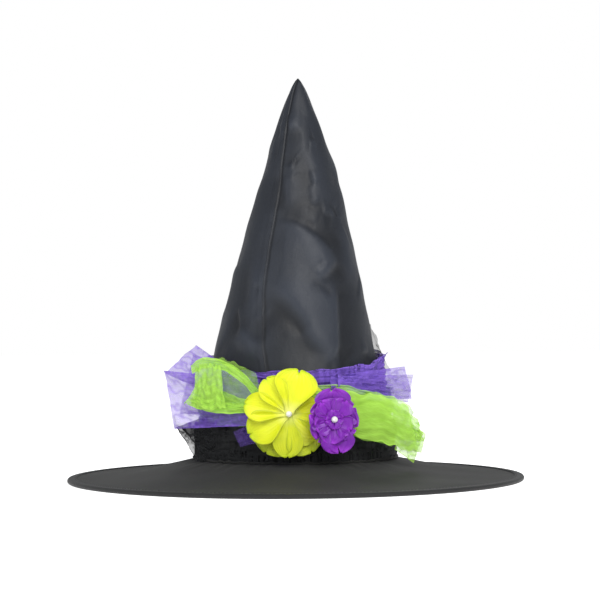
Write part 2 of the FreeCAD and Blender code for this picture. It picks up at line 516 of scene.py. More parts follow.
@dataclass(frozen=True)
class Petal:
    """Pressed petal cloth: pale throat, clear middle, fine veins; painted shade on petals that lie behind others,
    towards each petal's sides and in ruffle grooves.
    """

    name: str
    throat: Colour
    middle: Colour
    rim: Colour
    shade: Colour
    roughness: float
    veins: float
    patchy: float = 0.5
    sheen: float = 0.1

    def build(self) -> bpy.types.Material:
        """Make the material."""
        shader = Shader(self.name)
        across, along = shader.uv_parts()
        ramp = shader.node("ShaderNodeValToRGB", {
            "stops": [(0.0, self.throat), (0.32, self.middle), (0.8, self.middle), (1.0, self.rim)],
        }, {0: along})
        blotch = shader.noise(shader.place(), 95.0, 3.0, 0.5)
        grain = shader.noise(shader.place(), 900.0, 2.0)
        # Painted shade: the petal's shade weight and its sides darken the colour, mixed with random blotches of real
        # tone.
        side = ((across - 0.5).size() * 2.0) ** 3.0
        shade_and_blotch = (shader.weight("shade") + side * 0.22 + blotch * self.patchy - 0.5 * self.patchy).held()
        colour = shader.mix(shade_and_blotch * 0.85, ramp.outputs[0], self.shade)
        rays = ((across - 0.5) * self.veins * (along * 0.8 + 1.0)).sine()
        relief = rays * 0.3 + grain * 0.25 + blotch * 0.5
        return shader.finish({
            "Base Color": colour,
            "Roughness": (grain * 0.12 + (self.roughness - 0.06)).held(),
            "Normal": shader.bump(relief, 0.45, 0.5),
            "Specular IOR Level": 0.4,
            "Sheen Weight": self.sheen,
            "Sheen Roughness": 0.4,
        })


@dataclass(frozen=True)
class Smooth:
    """Pearl, glue or plastic: even colour with faint clouding, optional coat."""

    name: str
    deep: Colour
    lit: Colour
    roughness: float
    coat: float = 0.0
    grain: float = 420.0
    glow: float = 0.0

    def build(self) -> bpy.types.Material:
        """Make the material."""
        shader = Shader(self.name)
        cloud = shader.noise(shader.place(), self.grain, 3.0, 0.5)
        return shader.finish({
            "Base Color": shader.mix(cloud, self.deep, self.lit),
            "Roughness": (cloud * 0.1 + (self.roughness - 0.05)).held(),
            "Normal": shader.bump(cloud, 0.15, 0.1),
            "Coat Weight": self.coat,
            "Coat Roughness": 0.08,
            "Emission Color": (1.0, 1.0, 1.0, 1.0),
            "Emission Strength": self.glow,
        })


class Finish(Enum):
    """Every finish on the hat."""

    # The crown's satin carries painted crease shade and highlight (folds=True).
    CROWN = Satin("crown_satin", (0.0045, 0.0052, 0.0072), (0.027, 0.032, 0.044), 0.50, folds=True)
    INTERFACING = MatteCloth("interfacing", (0.020, 0.020, 0.022), (0.052, 0.052, 0.055), 0.9, 3200.0)
    BRIM = MatteCloth("brim_cloth", (0.009, 0.009, 0.0085), (0.022, 0.022, 0.0205), 0.8)
    BOARD = MatteCloth("brim_board", (0.03, 0.03, 0.029), (0.06, 0.058, 0.055), 0.9, 2600.0, 0.4)
    LINING = MatteCloth("brim_lining", (0.011, 0.011, 0.012), (0.028, 0.028, 0.030), 0.82)
    TAPE = MatteCloth("edge_tape", (0.010, 0.010, 0.0105), (0.027, 0.027, 0.028), 0.7, 7000.0)
    RIBBON = Satin("ribbon", (0.008, 0.008, 0.009), (0.022, 0.022, 0.024), 0.5, 4200.0, 0.1)
    THREAD = Satin("thread", (0.007, 0.007, 0.008), (0.022, 0.022, 0.026), 0.6, 12000.0, 0.1)
    BLACK_TULLE = Tulle("black_tulle", (0.004, 0.004, 0.005), (0.013, 0.014, 0.015), 0.95)
    GREEN_TULLE = Tulle("green_tulle", (0.34, 0.66, 0.04), (0.52, 0.88, 0.14), 0.76)
    PURPLE_TULLE = Tulle("purple_tulle", (0.13, 0.06, 0.46), (0.30, 0.17, 0.74), 0.76)
    YELLOW = Petal(
        "yellow_petal", (0.88, 0.90, 0.26), (0.80, 0.84, 0.010), (0.66, 0.80, 0.014), (0.26, 0.38, 0.002), 0.45, 46.0,
    )
    PURPLE = Petal(
        "purple_petal", (0.14, 0.015, 0.28), (0.20, 0.010, 0.42), (0.34, 0.03, 0.62), (0.03, 0.002, 0.10),
        0.34, 40.0, 0.9, 0.2,
    )
    PEARL = Smooth("pearl", (0.80, 0.78, 0.74), (0.92, 0.91, 0.90), 0.2, 0.6)
    GLUE = Smooth("glue", (0.42, 0.40, 0.42), (0.62, 0.60, 0.60), 0.35)
    HOOP = Smooth("hoop_plastic", (0.66, 0.66, 0.64), (0.80, 0.80, 0.78), 0.4)
    SLEEVE = Smooth("sleeve_plastic", (0.03, 0.03, 0.03), (0.07, 0.07, 0.07), 0.4)
    FLOOR = Smooth("floor", (0.80, 0.80, 0.80), (0.82, 0.82, 0.82), 0.9, 0.0, 6.0, 0.85)

    def material(self) -> bpy.types.Material:
        """The finish's material, made once."""
        return bpy.data.materials.get(self.value.name + LOOK) or self.value.build()


# ------------------------------------------------------------------ stitches by geometry nodes

class StitchTool:
    """Lays stitches of one size along a line, by geometry nodes."""

    def __init__(self) -> None:
        """Build the node tree once."""
        self.tree = bpy.data.node_groups.new("stitch_row", "GeometryNodeTree")
        panel = self.tree.interface
        self.identifiers: dict[str, str] = {}
        panel.new_socket("Geometry", in_out="INPUT", socket_type="NodeSocketGeometry")
        for name in ("Pitch", "Stitch Length", "Thread Width"):
            made = panel.new_socket(name, in_out="INPUT", socket_type="NodeSocketFloat")
            self.identifiers[name] = made.identifier
        made = panel.new_socket("Thread", in_out="INPUT", socket_type="NodeSocketMaterial")
        self.identifiers["Thread"] = made.identifier
        panel.new_socket("Geometry", in_out="OUTPUT", socket_type="NodeSocketGeometry")
        self._wire()

    def _wire(self) -> None:
        """Add and link the nodes."""
        nodes, link = self.tree.nodes, self.tree.links.new
        given = nodes.new("NodeGroupInput")
        curve = nodes.new("GeometryNodeMeshToCurve")
        spots = nodes.new("GeometryNodeCurveToPoints")
        spots.mode = "LENGTH"
        bead = nodes.new("GeometryNodeMeshUVSphere")
        bead.inputs["Segments"].default_value = 6
        bead.inputs["Rings"].default_value = 4
        bead.inputs["Radius"].default_value = 0.5
        size = nodes.new("ShaderNodeCombineXYZ")
        jitter = nodes.new("FunctionNodeRandomValue")
        jitter.inputs[2].default_value = 0.9
        jitter.inputs[3].default_value = 1.08
        jitter.inputs["Seed"].default_value = 11
        longer = nodes.new("ShaderNodeMath")
        longer.operation = "MULTIPLY"
        lay = nodes.new("GeometryNodeInstanceOnPoints")
        joined = nodes.new("GeometryNodeRealizeInstances")
        smooth = nodes.new("GeometryNodeSetShadeSmooth")
        finish = nodes.new("GeometryNodeSetMaterial")
        out = nodes.new("NodeGroupOutput")
        link(given.outputs["Geometry"], curve.inputs[0])
        link(curve.outputs[0], spots.inputs[0])
        link(given.outputs["Pitch"], spots.inputs["Length"])
        link(given.outputs["Stitch Length"], longer.inputs[0])
        link(jitter.outputs[1], longer.inputs[1])
        link(given.outputs["Thread Width"], size.inputs[0])
        link(given.outputs["Thread Width"], size.inputs[1])
        link(longer.outputs[0], size.inputs[2])
        link(spots.outputs["Points"], lay.inputs["Points"])
        link(bead.outputs["Mesh"], lay.inputs["Instance"])
        link(spots.outputs["Rotation"], lay.inputs["Rotation"])
        link(size.outputs[0], lay.inputs["Scale"])
        link(lay.outputs[0], joined.inputs[0])
        link(joined.outputs[0], smooth.inputs[0])
        link(smooth.outputs[0], finish.inputs[0])
        link(given.outputs["Thread"], finish.inputs["Material"])
        link(finish.outputs[0], out.inputs[0])

    def sew(
        self,
        name: str,
        lines: Sequence[Array],
        pitch: float,
        length: float,
        width: float,
        finish: Finish = Finish.THREAD,
    ) -> bpy.types.Object:
        """Sew rows of stitches.

        Args:
            name: Name of the piece.
            lines: Points of each row, in millimetres.
            pitch: From one stitch to the next.
            length: Length of a stitch.
            width: Width of the thread.
            finish: The thread's finish.

        Returns:
            One plain mesh of all the stitches.
        """
        points: list[list[float]] = []
        edges: list[tuple[int, int]] = []
        for line in lines:
            first = len(points)
            points += (np.asarray(line) * MM).tolist()
            edges += [(first + step, first + step + 1) for step in range(len(line) - 1)]
        mesh = bpy.data.meshes.new(name + "_line")
        mesh.from_pydata(points, edges, [])
        guide = bpy.data.objects.new(name + "_line", mesh)
        bpy.context.scene.collection.objects.link(guide)
        modifier = guide.modifiers.new("stitches", "NODES")
        modifier.node_group = self.tree
        modifier[self.identifiers["Pitch"]] = pitch * MM
        modifier[self.identifiers["Stitch Length"]] = length * MM
        modifier[self.identifiers["Thread Width"]] = width * MM
        modifier[self.identifiers["Thread"]] = finish.material()
        bpy.context.view_layer.update()
        evaluated = guide.evaluated_get(bpy.context.evaluated_depsgraph_get())
        sewn = bpy.data.meshes.new_from_object(evaluated)
        sewn.name = name
        bpy.data.objects.remove(guide)
        piece = bpy.data.objects.new(name, sewn)
        bpy.context.scene.collection.objects.link(piece)
        return piece


# ------------------------------------------------------------------ crown

@dataclass(frozen=True)
class Crease:
    """A fold in the crown: along its path the cloth on the left stands proud of the cloth on the right.

    The path's points are degrees to the right of the front, and height.
    """

    path: tuple[tuple[float, float], ...]
    drop: float
    width: float
    reach: float = 18.0


FRONT_CREASES = (
    Crease(((-30, 224), (-14, 226), (-1, 223), (10, 218), (21, 212), (36, 200), (43, 188)), -3.6, 2.4, 26.0),
    Crease(((16, 174), (26, 178), (34, 184), (44, 194)), 5.0, 4.5, 20.0),
    Crease(((30, 88), (32, 110), (34, 135), (37, 160), (38, 176)), 4.6, 3.2, 24.0),
    Crease(((-27, 170), (-14, 160), (-4, 152), (5, 140), (13, 122), (21, 113), (32, 104)), 7.0, 6.0, 24.0),
    Crease(((-34, 310), (-14, 306), (12, 307)), 2.2, 2.6, 16.0),
    Crease(((-24, 270), (-21, 252), (-15, 234)), 3.0, 3.2, 18.0),
    Crease(((-50, 138), (-36, 127), (-22, 118)), -3.2, 2.8, 16.0),
    Crease(((-54, 124), (-36, 112), (-20, 101)), 3.4, 6.0, 16.0),
    Crease(((-44, 112), (-41, 140), (-44, 168), (-50, 204)), -3.4, 6.5, 20.0),
    Crease(((8, 292), (18, 272), (16, 250), (24, 234)), 2.6, 4.0, 18.0),
    Crease(((46, 224), (52, 200), (50, 170)), 2.2, 4.5, 16.0),
    Crease(((-8, 134), (4, 128), (14, 136)), -1.6, 2.2, 10.0),
)


@dataclass
class Crown:
    """The pointed crown: satin over interfacing, one seam up the front left, soft folds all round."""

    tip_z: float
    foot_z: float
    foot_r: float
    upright_z: float = 28.0
    power: float = 0.74
    satin_t: float = 0.6
    interfacing_t: float = 1.0
    lean: float = 4.6
    stitch_in: float = 1.4
    rows: int = 168
    columns: int = 250
    seam_columns: int = 8
    allowance: float = 8.0
    creases: list[Crease] = field(default_factory=list)

    def __post_init__(self) -> None:
        """Add folds at the sides and back to the ones at the front."""
        self.creases = list(FRONT_CREASES)
        random = np.random.default_rng(31)
        for _ in range(26):
            start = np.array([random.uniform(-70.0, 66.0), random.uniform(84.0, 322.0)])
            run = np.array([random.uniform(7.0, 20.0), random.uniform(-26.0, 26.0)])
            bend = start + run / 2 + np.array([0.0, random.uniform(-5.0, 5.0)])
            path = tuple(tuple(point) for point in (start, bend, start + run))
            self.creases.append(
                Crease(path, random.uniform(1.0, 2.3) * random.choice([-1, 1]), random.uniform(1.1, 2.1), 8.0)
            )
        for turn in np.arange(75.0, 300.0, 17.0):
            height = random.uniform(95.0, 290.0)
            slant = random.uniform(-34.0, 34.0)
            run = random.uniform(20.0, 62.0)
            sag = random.uniform(-9.0, 9.0)
            path = (
                (turn - run / 3, height + slant),
                (turn, height + sag),
                (turn + run / 3, height - slant),
            )
            drop = random.uniform(1.4, 3.4 if 110 < turn < 250 else 1.8) * random.choice([-1, 1])
            self.creases.append(Crease(path, drop, random.uniform(2.4, 6.0)))

    def radius(self, height: Array) -> Array:
        """Radius of the smooth cone at a height."""
        taper = np.clip((self.tip_z - height) / (self.tip_z - self.upright_z), 0.0, 1.0)
        return self.foot_r * taper**self.power

    @staticmethod
    def seam_turn(height: Array) -> Array:
        """Degrees to the right of the front at which the seam lies at a height."""
        return np.interp(height, [16, 97, 118, 161, 205, 271, 354], [-11.0, -18.0, -22.0, -26.5, -28.2, -27.6, -31.0])

    def _one_crease(self, crease: Crease, turn: Array, height: Array) -> Array:
        """Relief of one crease over the crown."""
        path = np.array(crease.path, float)
        middle = path[:, 0].mean()
        away = (turn - middle + 180.0) % 360.0 - 180.0
        flat = np.stack([np.radians(away) * self.radius(height), height], -1)
        knots = np.stack([np.radians(path[:, 0] - middle) * self.radius(path[:, 1]), path[:, 1]], -1)
        nearest = np.full(height.shape, 1e6)
        signed = np.zeros(height.shape)
        share = np.zeros(height.shape)
        for index, (start, end) in enumerate(zip(knots[:-1], knots[1:])):
            run = end - start
            along = np.clip(((flat - start) @ run) / (run @ run), 0.0, 1.0)
            offset = flat - start - along[..., None] * run
            distance = np.hypot(offset[..., 0], offset[..., 1])
            side = np.where(run[0] * offset[..., 1] - run[1] * offset[..., 0] >= 0.0, 1.0, -1.0)
            closer = distance < nearest
            nearest = np.where(closer, distance, nearest)
            signed = np.where(closer, side * distance, signed)
            share = np.where(closer, (index + along) / (len(knots) - 1), share)
        ends = smoothstep(np.minimum(share, 1.0 - share) * 3.4)
        fade = np.exp(-(nearest / crease.reach) ** 1.4)
        return 0.5 * crease.drop * np.tanh(signed / crease.width) * fade * ends

    def folds(self, turn: Array, height: Array) -> Array:
        """How far the creases alone raise or lower the satin, in millimetres."""
        return sum(self._one_crease(crease, turn, height) for crease in self.creases)

    def relief(self, turn: Array, height: Array) -> Array:
        """How far the satin stands out from the smooth cone, in millimetres."""
        share = turn / 360.0
        total = 0.6 * waves(share, height / 210.0, 5, ((2, 1), (3, -1), (1, 2), (4, 1.5)))
        total = total + 0.35 * waves(share, height / 70.0, 9, ((5, 1), (-7, 1), (3, 2)))
        total = total + self.folds(turn, height)
        calm_foot = smoothstep((height - 48.0) / 50.0)
        calm_tip = 0.25 + 0.75 * smoothstep(self.radius(height) / 26.0)
        from_seam = np.radians((turn - self.seam_turn(height) + 180.0) % 360.0 - 180.0) * self.radius(height)
        flap = smoothstep(-from_seam / 1.1) * smoothstep((self.allowance + from_seam) / 2.5)
        groove = -0.45 * np.exp(-(from_seam / 1.0) ** 2)
        puckers = 0.14 * np.sin(height / 3.1) * np.exp(-np.abs(from_seam) / 5.0)
        return total * calm_foot * calm_tip + 0.5 * flap + groove + puckers

    def surface(self, turn: Array, height: Array, lift: Array | float = 0.0, relief: Array | float = 0.0) -> Array:
        """Points on or off the crown.

        Args:
            turn: Degrees to the right of the front.
            height: Height.
            lift: Distance out from the smooth cone.
            relief: More distance, from the folds.

        Returns:
            The points, in millimetres.
        """
        reach = self.radius(height) + lift + relief
        angle = np.radians(turn)
        leaning = self.lean * smoothstep((height - 105.0) / 160.0)
        return np.stack([reach * np.sin(angle) + leaning, -reach * np.cos(angle), height + 0.0 * reach], -1)

    def _turns(self) -> Array:
        """Degrees from the seam of each column: close together beside the seam."""
        near = np.linspace(0.0, 6.5, self.seam_columns)
        far = np.linspace(6.5, 353.5, self.columns - 2 * self.seam_columns + 2)[1:-1]
        return np.concatenate([near, far, 360.0 - near[::-1][:-1]])

    def _heights(self) -> Array:
        """Height of each row, from the foot up, closer together at the tip."""
        share = np.linspace(0.0, 1.0, self.rows)
        return self.foot_z + (self.tip_z - self.foot_z) * (1.0 - (1.0 - share) ** 1.18)

    def build(self) -> None:
        """Make the satin and the interfacing."""
        height, offset = np.meshgrid(self._heights(), self._turns(), indexing="ij")
        turn = self.seam_turn(height) + offset
        relief = self.relief(turn, height)
        relief[-1] = 0.0
        from_seam = np.radians((offset + 180.0) % 360.0 - 180.0) * self.radius(height)
        # Painted shade and highlight: the fold weight is lighter on the proud side of each crease and darker on its
        # sunken side; seam_shadow paints shade along the seam.
        seam_shadow = 0.55 * np.exp(-((from_seam - 0.6) / 1.3) ** 2)
        fold = {"fold": np.clip(0.5 + 0.24 * self.folds(turn, height) - seam_shadow, 0.0, 1.0)}
        skins = [
            self.surface(turn, height, -depth, relief)
            for depth in (0.0, self.satin_t, self.satin_t + 0.05, self.satin_t + self.interfacing_t)
        ]
        for skin, drop in zip(skins, (0.0, 0.6, 0.7, 2.0)):
            skin[-1] = skin[-2].mean(0) + np.array([0.0, 0.0, 1.2 - drop])
        uv = np.stack([offset / 360.0, (height - self.foot_z) / (self.tip_z - self.foot_z)], -1)
        satin = make_mesh("crown_satin", [shell(skins[0], skins[1], uv, fold)], Finish.CROWN.material())
        settle(weld(satin), "crown_satin", "crown_shell")
        inner = make_mesh("crown_interfacing_layer", [shell(skins[2], skins[3], uv)], Finish.INTERFACING.material())
        settle(weld(inner), "interfacing", "crown_interfacing")

    def sew(self, tool: StitchTool) -> None:
        """Stitch down the crown's seam allowance."""
        height = np.linspace(self.foot_z + 6.0, self.tip_z - 12.0, 260)
        turn = self.seam_turn(height) - np.degrees(self.stitch_in / self.radius(height))
        row = self.surface(turn, height, 0.12, self.relief(turn, height))
        settle(tool.sew("crown_seam_stitches", [row], 2.6, 1.9, 0.38), "crown_satin")


# ------------------------------------------------------------------ brim

@dataclass
class Brim:
    """The brim: cloth above and below a board, taped round a sprung hoop, with a ribbon inside the opening."""

    rim_r: float
    inner_r: float
    edge_z: float = 2.0
    seam_z: float = 17.5
    flare_r: float = 192.0
    flare_power: float = 1.7
    board_t: float = 1.6
    cover_t: float = 0.6
    cover_r: float = 195.6
    columns: int = 360
    rows: int = 56

    def height(self, radius: Array) -> Array:
        """Height of the brim's middle at a radius."""
        flare = np.clip((self.flare_r - radius) / (self.flare_r - self.inner_r), 0.0, 1.0)
        return self.edge_z + (self.seam_z - self.edge_z) * flare**self.flare_power

    def _polar(self, radius: Array, height: Array, angle: Array) -> Array:
        """Points from radius, height and angle."""
        return np.stack([radius * np.cos(angle), radius * np.sin(angle), height], -1)

    def _cover(self, name: str, finish: Finish, side: float, seed: int) -> bpy.types.Object:
        """One cover, above or below the board.

        Args:
            name: Name of the piece.
            finish: Its cloth.
            side: 1 above the board, -1 below it.
            seed: Seed of its unevenness.

        Returns:
            The cover, a closed skin with its own thickness.
        """
        share = np.linspace(0.0, 1.0, self.rows) ** 1.15
        angle = np.linspace(0.0, 2.0 * math.pi, self.columns, endpoint=False)
        start = self.inner_r + 0.25
        radius, turn = np.meshgrid(start + (self.cover_r - self.inner_r - 0.25) * share, angle, indexing="ij")
        part = turn / (2.0 * math.pi)
        from_seam = radius - self.inner_r
        from_rim = self.rim_r - 8.0 - radius
        seam_pucker = waves(part, from_seam / 60.0, seed, ((41, 0.4), (57, -0.6), (23, 0.3)))
        seam_pucker = seam_pucker * np.exp(-from_seam / 11.0)
        rim_pucker = waves(part, from_rim / 80.0, seed + 1, ((96, 0.3), (133, -0.4))) * np.exp(-np.abs(from_rim) / 5.0)
        slack = waves(part, radius / 90.0, seed + 2, ((3, 1), (-5, 1), (8, 0.6), (13, -1.2)))
        calm = smoothstep(from_seam / 16.0) * smoothstep((from_rim + 4.0) / 16.0)
        rise = 0.55 * seam_pucker + 0.16 * rim_pucker + 0.42 * calm * (slack + 0.9)
        rise = np.maximum(rise, -0.12)
        outside = self.height(radius) + side * (self.board_t / 2 + self.cover_t + rise)
        inside = self.height(radius) + side * (self.board_t / 2 + 0.06)
        outer = self._polar(radius, outside, turn)
        inner = self._polar(radius, inside, turn)
        if side > 0:
            hem = self._hem(turn[0], outside[0])
            outer = np.concatenate([hem, outer], 0)
            inner = np.concatenate([np.repeat(inner[:1], len(hem), 0), inner], 0)
        uv = grid_uv(len(outer), self.columns)
        patch = shell(outer, inner, uv) if side < 0 else shell(outer[::-1], inner[::-1], uv)
        return weld(make_mesh(name, [patch], finish.material()))

    def _hem(self, turn: Array, top: Array) -> Array:
        """The folded edge of the top cloth, a soft roll against the crown's foot."""
        rows = []
        for degrees in (150.0, 120.0, 90.0, 60.0, 35.0):
            lean = math.radians(degrees)
            out = self.inner_r + 1.55 + 1.25 * math.cos(lean)
            up = top + 0.35 + (1.9 + 0.35 * np.sin(turn * 47.0)) * math.sin(lean) * 0.9
            rows.append(self._polar(np.full_like(turn, out), up, turn))
        return np.array(rows)

    def _tape(self) -> bpy.types.Object:
        """Edge tape, folded over the rim."""
        nose = self.rim_r - 2.0
        back = self.rim_r - 8.0
        top, low = 2 * self.edge_z, 0.0
        outer = [(back, low), (back + 2.5, low), (nose - 2.0, low)]
        outer += [
            (nose + 2.0 * math.cos(math.radians(a)), 2.0 + 2.0 * math.sin(math.radians(a)))
            for a in range(-90, 91, 20)
        ]
        outer += [(nose - 2.0, top), (back + 2.5, top + 0.05), (back, top + 0.1)]
        inner = [(r - 0.5 if r > nose else r, 2.0 + (h - 2.0) * (1.42 / 2.0)) for r, h in reversed(outer)]
        patch = lathe(outer + inner, self.columns)
        radius = np.hypot(patch.points[..., 0], patch.points[..., 1])
        angle = np.arctan2(patch.points[..., 1], patch.points[..., 0])
        pull = waves(angle / (2 * math.pi), 0.0 * angle, 71, ((150, 0), (211, 0), (87, 0)))
        near_edge = np.exp(-np.abs(radius - back) / 2.2)
        upper = patch.points[..., 2] > self.edge_z + 0.5
        patch.points[..., 2] += 0.10 * pull * near_edge * upper
        return make_mesh("edge_tape", [patch], Finish.TAPE.material())

    def _sweatband(self, bottom: float, top: float, inside_r: float) -> bpy.types.Object:
        """Ribbed ribbon inside the opening, with rolled edges."""
        heights = np.linspace(bottom, top, 46)
        rib = 0.12 * np.cos((heights - bottom) * (2 * math.pi / 1.5))
        inner = [(inside_r + 0.1 + r, h) for r, h in zip(rib, heights)]
        outer = [(inside_r + 0.8, h) for h in heights[::-1]]
        patch = lathe(inner + outer, 240)
        patch.points = patch.points[::-1]
        return make_mesh("sweatband_ribbon", [patch], Finish.RIBBON.material())

    def build(self, low: float, high: float, inside_r: float) -> None:
        """Make the brim's cloth, tape and ribbon.

        Args:
            low: Lowest height of the ribbon.
            high: Its highest.
            inside_r: Its inside radius.
        """
        settle(self._cover("brim_top_cloth", Finish.BRIM, 1.0, 21), "brim_cloth", "brim_top_cover")
        settle(self._cover("brim_under_cloth", Finish.LINING, -1.0, 33), "brim_lining", "brim_bottom_cover")
        settle(self._tape(), "edge_tape", "brim_binding")
        settle(self._sweatband(low, high, inside_r), "ribbon", "sweatband")

    def sew(self, tool: StitchTool, ribbon_z: float, ribbon_r: float) -> None:
        """Stitch the tape on both sides and the ribbon's foot."""
        angle = np.linspace(0.0, 2.0 * math.pi, 721)
        rows = []
        for radius, height in ((self.rim_r - 6.6, 2 * self.edge_z + 0.12), (self.rim_r - 6.6, 0.24)):
            rows.append(self._polar(np.full_like(angle, radius), np.full_like(angle, height), angle))
        settle(tool.sew("edge_tape_stitches", rows, 3.4, 2.4, 0.4), "edge_tape")
        band = self._polar(np.full_like(angle, ribbon_r - 0.12), np.full_like(angle, ribbon_z), angle)
        settle(tool.sew("sweatband_stitches", [band], 3.4, 2.4, 0.4), "ribbon")


# ------------------------------------------------------------------ tulle

@dataclass(frozen=True)
class Station:
    """One place along a strip of tulle: where its middle is, how wide it is there and how its width lies."""

    at: Place
    width: float
    tilt: float = 0.0
    ripple: float = 1.0

    def row(self) -> list[float]:
        """The station as a row of numbers."""
        return [*self.at, self.width, self.tilt, self.ripple]


@dataclass
class Strip:
    """A gathered strip of tulle through its stations; tilt turns its width from upright, in degrees."""

    stations: Sequence[Station]
    pleats: float
    seed: int
    density: float = 1.0
    rows: int = 120
    columns: int = 60
    closed: bool = False
    billow: float = 0.8

    def patch(self) -> Patch:
        """The strip's grid."""
        table = np.array([station.row() for station in self.stations])
        path = through(table, self.rows)
        if self.closed:
            path = self._closed_path(table)
        centre, width, tilt, ripple = path[:, :3], path[:, 3], np.radians(path[:, 4]), path[:, 5]
        if self.closed:
            tangent = unit(np.roll(centre, -1, 0) - np.roll(centre, 1, 0))
        else:
            tangent = unit(np.gradient(centre, axis=0))
        upright = np.broadcast_to(np.array([0.0, 0.0, 1.0]), centre.shape)
        normal = unit(np.cross(upright, tangent))
        across_dir = np.cross(tangent, normal)
        across_dir = unit(across_dir * np.cos(tilt)[:, None] + tangent * np.sin(tilt)[:, None])
        along = np.linspace(0.0, 1.0, self.rows, endpoint=not self.closed)[:, None]
        across = np.linspace(-0.5, 0.5, self.columns)[None, :]
        turn = 1.0 if not self.closed else 3.0
        wander = 0.24 * waves(along * turn, across, self.seed, ((1, 0.0), (2, 0.3)))
        phase = 2.0 * math.pi * (self.pleats * (across + 0.5) + wander)
        fold = 0.62 * np.sin(phase) + 0.38 * np.sin(1.73 * phase + 2.0 * wander + self.seed)
        loose = 0.9 * waves(along * turn * 2, across * 1.5, self.seed + 7, ((1, 1), (2, -1), (3, 0.7)))
        out = (0.5 * fold + self.billow * loose) * ripple[:, None]
        edge_wave = 1.0 + 0.06 * waves(along * turn, 0.0 * along, self.seed + 3, ((3, 0), (5, 0), (8, 0)))
        sideways = across * width[:, None] * edge_wave
        points = centre[:, None] + sideways[..., None] * across_dir[:, None] + out[..., None] * normal[:, None]
        crest = np.abs(np.sin(phase))
        hem = np.exp(-(0.5 - np.abs(across)) / 0.012) + 0.0 * along
        weights = {"threads": self.density * (0.86 + 0.16 * crest**4 + 0.35 * hem)}
        return Patch(points, grid_uv(self.rows, self.columns), weights, closed_along=self.closed)

    def _closed_path(self, table: Array) -> Array:
        """Stations run round into a ring."""
        wrapped = np.vstack([table[-2:], table, table[:3]])
        full = through(wrapped, (len(wrapped) - 1) * 24 + 1)
        ring = full[2 * 24: (2 + len(table)) * 24]
        place = np.linspace(0, len(ring), self.rows, endpoint=False).astype(int)
        return ring[place]


@dataclass
class Corner:
    """A loose corner of tulle between four points, softly crumpled."""

    corners: Array
    crumple: float
    seed: int
    density: tuple[float, float] = (1.0, 1.0)
    side: int = 36

    def patch(self) -> Patch:
        """The corner's grid: its corners run round, the last two opposite the first two."""
        along, across = np.meshgrid(np.linspace(0, 1, self.side), np.linspace(0, 1, self.side), indexing="ij")
        first, second, third, fourth = (np.array(corner, float) for corner in self.corners)
        share, cross = along[..., None], across[..., None]
        points = (first * (1 - cross) + second * cross) * (1 - share) + (fourth * (1 - cross) + third * cross) * share
        normal = unit(np.cross(third - first, fourth - second))
        inner = 0.25 + 0.75 * np.sin(math.pi * along) ** 0.5
        out = self.crumple * inner * (
            waves(along * 1.2, across * 1.2, self.seed, ((1, 1), (2, -1), (1, -2)))
            + 0.4 * waves(along * 3, across * 3, self.seed + 1, ((1, 2), (2, 1), (3, -1)))
        )
        fold = np.abs(np.sin(3.0 * math.pi * (across * 0.8 + 0.3 * along) + out))
        fade = self.density[0] * (1 - along) + self.density[1] * along
        edge = np.exp(-np.minimum(np.minimum(across, 1 - across), 1 - along) / 0.02)
        weights = {"threads": fade * (0.8 + 0.3 * fold**7 + 0.3 * edge)}
        return Patch(points + out[..., None] * normal, grid_uv(self.side, self.side) * 0.5, weights)


